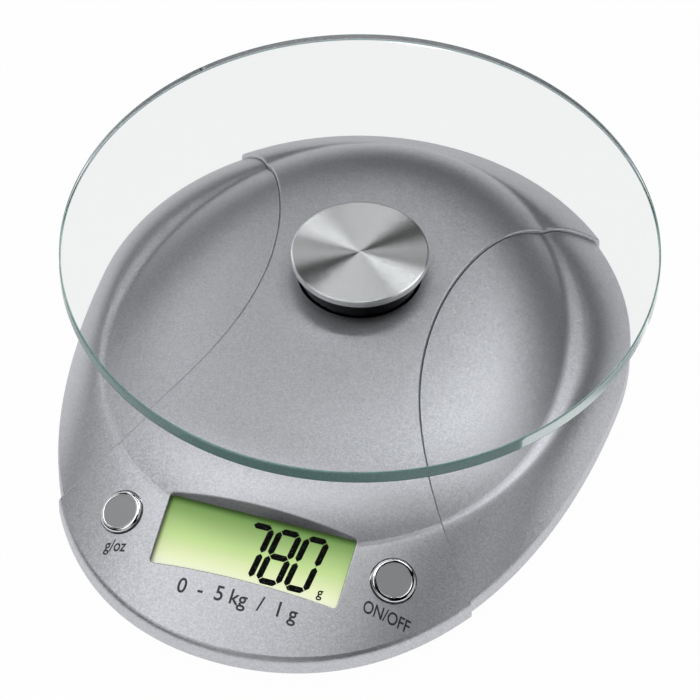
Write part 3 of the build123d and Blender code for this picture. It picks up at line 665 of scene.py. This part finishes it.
class SCALE_OT_display(bpy.types.Operator):
    """Clear window, green display and its digits"""
    bl_idname = "kitchen_scale.display"
    bl_label = "Display"

    def execute(self, context):
        looks = context.scene.scale_display
        dress("display_lens", window_clear())
        let_light_by(nodes["display_lens"])
        dress("lcd_panel", display_glow(looks))
        nodes["lcd_panel"].visible_diffuse = False
        nodes["lcd_panel"].visible_glossy = False
        ink = display_ink(looks)
        plane = display_plane(looks)
        last_digit = 0.01775
        digits_middle = -0.0128
        corner_share = 0.06
        unit_height = 0.0048
        unit_stretch = 0.9
        unit_place = (0.0249, -0.0208, 0)
        bm = bmesh.new()
        for k, figure in enumerate(reversed(looks.reading)):
            digit(bm, looks, figure, last_digit - k * looks.digit_pitch)
        bmesh.ops.bevel(bm, geom=bm.verts[:], offset=looks.stroke * corner_share, offset_type="OFFSET",
                        segments=2, profile=0.5, affect="VERTICES", material=-1)
        thicken(bm, segment_depth)
        bmesh.ops.transform(bm, matrix=plane @ Matrix.Translation((0, digits_middle, 0)), verts=bm.verts)
        make_piece("display_digits", bm, "base", "black_resin", ink)
        bm = lettering("unit", "g", unit_height, unit_stretch)
        thicken(bm, segment_depth)
        bmesh.ops.transform(bm, matrix=plane @ Matrix.Translation(unit_place), verts=bm.verts)
        make_piece("display_unit", bm, "base", "black_resin", ink)
        return {"FINISHED"}


class SCALE_OT_buttons(bpy.types.Operator):
    """Two round buttons with a bright rim and a satin top"""
    bl_idname = "kitchen_scale.buttons"
    bl_label = "Buttons"

    def execute(self, context):
        rim, top = button_finishes(context.scene.scale_controls)
        radius = 0.0073
        flange = 0.0083
        stem = 0.0012
        proud = 0.0013
        shoulder = -0.0018
        under = -0.0026
        insert = 0.0057
        dish = 0.00025
        rim_round = 0.00095
        dish_round = 0.0002
        seat_x, seat_y, seat_z = 0.0467, -0.0846, 0.020608
        facing_x, facing_y, facing_z = 0.281522, -0.390046, 0.876704
        tip_steps = 6
        arc = [k * pi / 2 / tip_steps for k in range(tip_steps)]
        tip = [(stem * sin(angle), under - stem * cos(angle)) for angle in arc]
        line = tip + [(stem, under), (flange, under), (flange, shoulder), (radius, shoulder),
                      (radius, proud), (insert, proud), (insert, proud - dish), (0, proud - dish)]
        for side, body in ((-1, "unit_button"), (1, "on_button")):
            bm = turned(line, 96)
            rounded(bm, rings_at(bm, radius, proud), rim_round, 6)
            rounded(bm, rings_at(bm, insert, proud), dish_round, 4)
            for face in bm.faces:
                middle = face.calc_center_median()
                face.material_index = 1 if middle.xy.length < insert and middle.z > 0 else 0
            facing = Vector((side * facing_x, facing_y, facing_z))
            seat = Vector((side * seat_x, seat_y, seat_z))
            place = Matrix.Translation(seat) @ facing.to_track_quat("Z", "Y").to_matrix().to_4x4()
            bmesh.ops.transform(bm, matrix=place, verts=bm.verts)
            cap = make_piece(body + "_cap", bm, body, "button_chrome", rim, top, sharp=25.0)
            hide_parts(body)
        return {"FINISHED"}


class SCALE_OT_marks(bpy.types.Operator):
    """Plain marks printed by the buttons and under the display"""
    bl_idname = "kitchen_scale.marks"
    bl_label = "Printed marks"

    def execute(self, context):
        looks = context.scene.scale_controls
        ink = printed_ink(looks)
        cover = BVHTree.FromObject(nodes["centre_cover"], context.evaluated_depsgraph_get())
        longest_edge = 0.0006
        above = 0.1
        lift = 0.00001
        marks = (("unit_mark", "g/oz", looks.mark_height, 0.80, (-0.0450, -0.0954)),
                 ("power_mark", "ON/OFF", looks.mark_height, 0.80, (0.0478, -0.0954)),
                 ("range_mark", "0  -  5 kg  /  1 g", looks.range_height, 1.0, (0.0003, -0.1053)))
        for name, words, height, stretch, centre in marks:
            bm = lettering(name, words, height, stretch)
            bmesh.ops.translate(bm, verts=bm.verts, vec=(*centre, 0))
            bmesh.ops.triangulate(bm, faces=bm.faces)
            long_edges = [e for e in bm.edges if e.calc_length() > longest_edge]
            bmesh.ops.subdivide_edges(bm, edges=long_edges, cuts=2, use_grid_fill=True)
            for vert in bm.verts:
                hit = cover.ray_cast(Vector((vert.co.x, vert.co.y, above)), Vector((0, 0, -1)))[0]
                if hit is None:
                    raise RuntimeError(f"{name} leaves the cover")
                vert.co.z = hit.z + lift
            thicken(bm, print_depth)
            make_piece(name, bm, "base", "dark_rubber", ink)
        return {"FINISHED"}


class SCALE_OT_base(bpy.types.Operator):
    """Finishes of the tray, feet and door, and of the pieces inside"""
    bl_idname = "kitchen_scale.base"
    bl_label = "Base and inside"

    def execute(self, context):
        finishes = inner_finishes(context.scene.scale_base)
        for name, node in nodes.items():
            worn = node.material_slots[0].material.name
            if worn in finishes:
                dress(name, finishes[worn])
        dress("front_battery", battery_wrap("front battery sleeve", 1))
        dress("back_battery", battery_wrap("back battery sleeve", -1))
        return {"FINISHED"}


def softbox(name, place, aim, size, watts, roll=0.0):
    """A flat box of light turned towards a point and rolled about its own axis."""
    lamp = bpy.data.lights.new(name, "AREA")
    lamp.shape = "RECTANGLE"
    lamp.size, lamp.size_y = size
    lamp.energy = watts
    holder = bpy.data.objects.new(name, lamp)
    bpy.context.scene.collection.objects.link(holder)
    holder.location = place
    facing = (Vector(aim) - Vector(place)).to_track_quat("-Z", "Y").to_matrix()
    holder.rotation_euler = (facing @ Matrix.Rotation(roll, 3, "Z")).to_euler()


def white_floor():
    """White floor that keeps a faint shadow, also as metal and glass see it."""
    paper = Finish("white floor")
    fibre = paper.grain(0.02, 2)
    paper.set(Base_Color=paper.tint(fibre, (0.84, 0.84, 0.84), (0.86, 0.86, 0.86)), Roughness=0.9,
              Specular_IOR_Level=0.0)
    glow_share = 0.98
    path = paper.add("ShaderNodeLightPath")
    seen = path.outputs["Is Camera Ray"]
    for kind in ("Is Glossy Ray", "Is Transmission Ray"):
        seen = paper.combine("MAXIMUM", seen, path.outputs[kind])
    glow = paper.add("ShaderNodeEmission", Color=(1, 1, 1, 1), Strength=1.0)
    return paper.cover(glow.outputs["Emission"], paper.combine("MULTIPLY", seen, glow_share)).material


class SCALE_OT_stage(bpy.types.Operator):
    """White floor, soft studio light and the camera"""
    bl_idname = "kitchen_scale.stage"
    bl_label = "Stage"

    def execute(self, context):
        looks = context.scene.scale_stage
        floor_drop = 0.0001
        bm = bmesh.new()
        bmesh.ops.create_circle(bm, cap_ends=True, segments=96, radius=looks.floor_radius)
        bmesh.ops.translate(bm, verts=bm.verts, vec=(0, 0, -floor_drop))
        mesh = bpy.data.meshes.new("floor")
        bm.to_mesh(mesh)
        bm.free()
        floor = bpy.data.objects.new("floor", mesh)
        context.scene.collection.objects.link(floor)
        wear(floor, white_floor())

        world = bpy.data.worlds.new("studio")
        world.use_nodes = True
        room = world.node_tree.nodes["Background"]
        room.inputs["Color"].default_value = (1, 1, 1, 1)
        room.inputs["Strength"].default_value = looks.room
        context.scene.world = world

        middle = (0, 0, 0.03)
        wide_box = (1.4, 1.0)
        # The back slot box stands between the two places that the plate mirrors to the camera.
        boxes = (
            ("front bank box", (-0.9, -0.9, 1.6), middle, (0.9, 0.9), looks.front_bank),
            ("side bank box", (-0.9, -0.1, 1.6), (0, -0.1, 0.03), (0.7, 0.9), looks.side_bank),
            ("back left box", (-1.25, 1.25, 1.5), middle, (0.9, 0.7), looks.back_left),
            ("back slot box", (-0.13, 0.985, 1.555), middle, (0.8, 0.14), looks.back_slot),
            ("back right box", (0.8, 0.8, 1.6), middle, (0.9, 0.9), looks.back_right),
            ("top box", (0, -0.1, 1.6), middle, (0.9, 0.6), looks.top),
            ("left box", (-1.64, 0.25, 0.92), middle, wide_box, looks.left),
            ("right box", (1.66, 0, 0.92), middle, wide_box, looks.right),
            ("front box", (0, -1.66, 0.92), middle, wide_box, looks.front),
            ("streak strip", (0.40, 0.90, 1.31), (0, 0, 0.05), (0.5, 0.02), looks.streak, radians(-14)),
        )
        for box in boxes:
            softbox(*box)

        view = bpy.data.cameras.new("camera")
        view.lens = looks.lens
        view.sensor_width = 36
        view.clip_end = 30
        camera = bpy.data.objects.new("camera", view)
        camera.location = looks.camera
        camera.rotation_euler = Euler(looks.look)
        context.scene.collection.objects.link(camera)
        context.scene.camera = camera
        context.scene.view_settings.view_transform = "Standard"
        return {"FINISHED"}


class SCALE_PT_panel(bpy.types.Panel):
    """Lists the pieces of the kitchen scale"""
    bl_idname = "SCALE_PT_panel"
    bl_label = "Kitchen scale"
    bl_space_type = "VIEW_3D"
    bl_region_type = "UI"
    bl_category = "Kitchen scale"

    def draw(self, context):
        for group, operators in panel_rows:
            box = self.layout.box()
            looks = getattr(context.scene, group)
            for key in looks.bl_rna.properties.keys():
                if key not in ("rna_type", "name"):
                    box.prop(looks, key)
            for operator in operators:
                box.operator(operator.bl_idname)


panel_rows = (
    ("scale_plate", (SCALE_OT_weighing_plate, SCALE_OT_plate_disc)),
    ("scale_housing", (SCALE_OT_housing,)),
    ("scale_display", (SCALE_OT_display,)),
    ("scale_controls", (SCALE_OT_buttons, SCALE_OT_marks)),
    ("scale_base", (SCALE_OT_base,)),
    ("scale_stage", (SCALE_OT_stage,)),
)
groups = {"scale_plate": PlateLooks, "scale_housing": HousingLooks, "scale_display": DisplayLooks,
          "scale_controls": ControlLooks, "scale_base": BaseLooks, "scale_stage": StageLooks}
all_operators = [operator for _, row in panel_rows for operator in row]


def register():
    for group in groups.values():
        bpy.utils.register_class(group)
    for operator in all_operators:
        bpy.utils.register_class(operator)
    bpy.utils.register_class(SCALE_PT_panel)
    for name, group in groups.items():
        setattr(bpy.types.Scene, name, PointerProperty(type=group))


def unregister():
    for name in groups:
        delattr(bpy.types.Scene, name)
    bpy.utils.unregister_class(SCALE_PT_panel)
    for operator in reversed(all_operators):
        bpy.utils.unregister_class(operator)
    for group in reversed(list(groups.values())):
        bpy.utils.unregister_class(group)


def main():
    register()
    bpy.ops.kitchen_scale.weighing_plate()
    bpy.ops.kitchen_scale.plate_disc()
    bpy.ops.kitchen_scale.housing()
    bpy.ops.kitchen_scale.display()
    bpy.ops.kitchen_scale.buttons()
    bpy.ops.kitchen_scale.marks()
    bpy.ops.kitchen_scale.base()
    bpy.ops.kitchen_scale.stage()


if __name__ == "__main__":
    main()
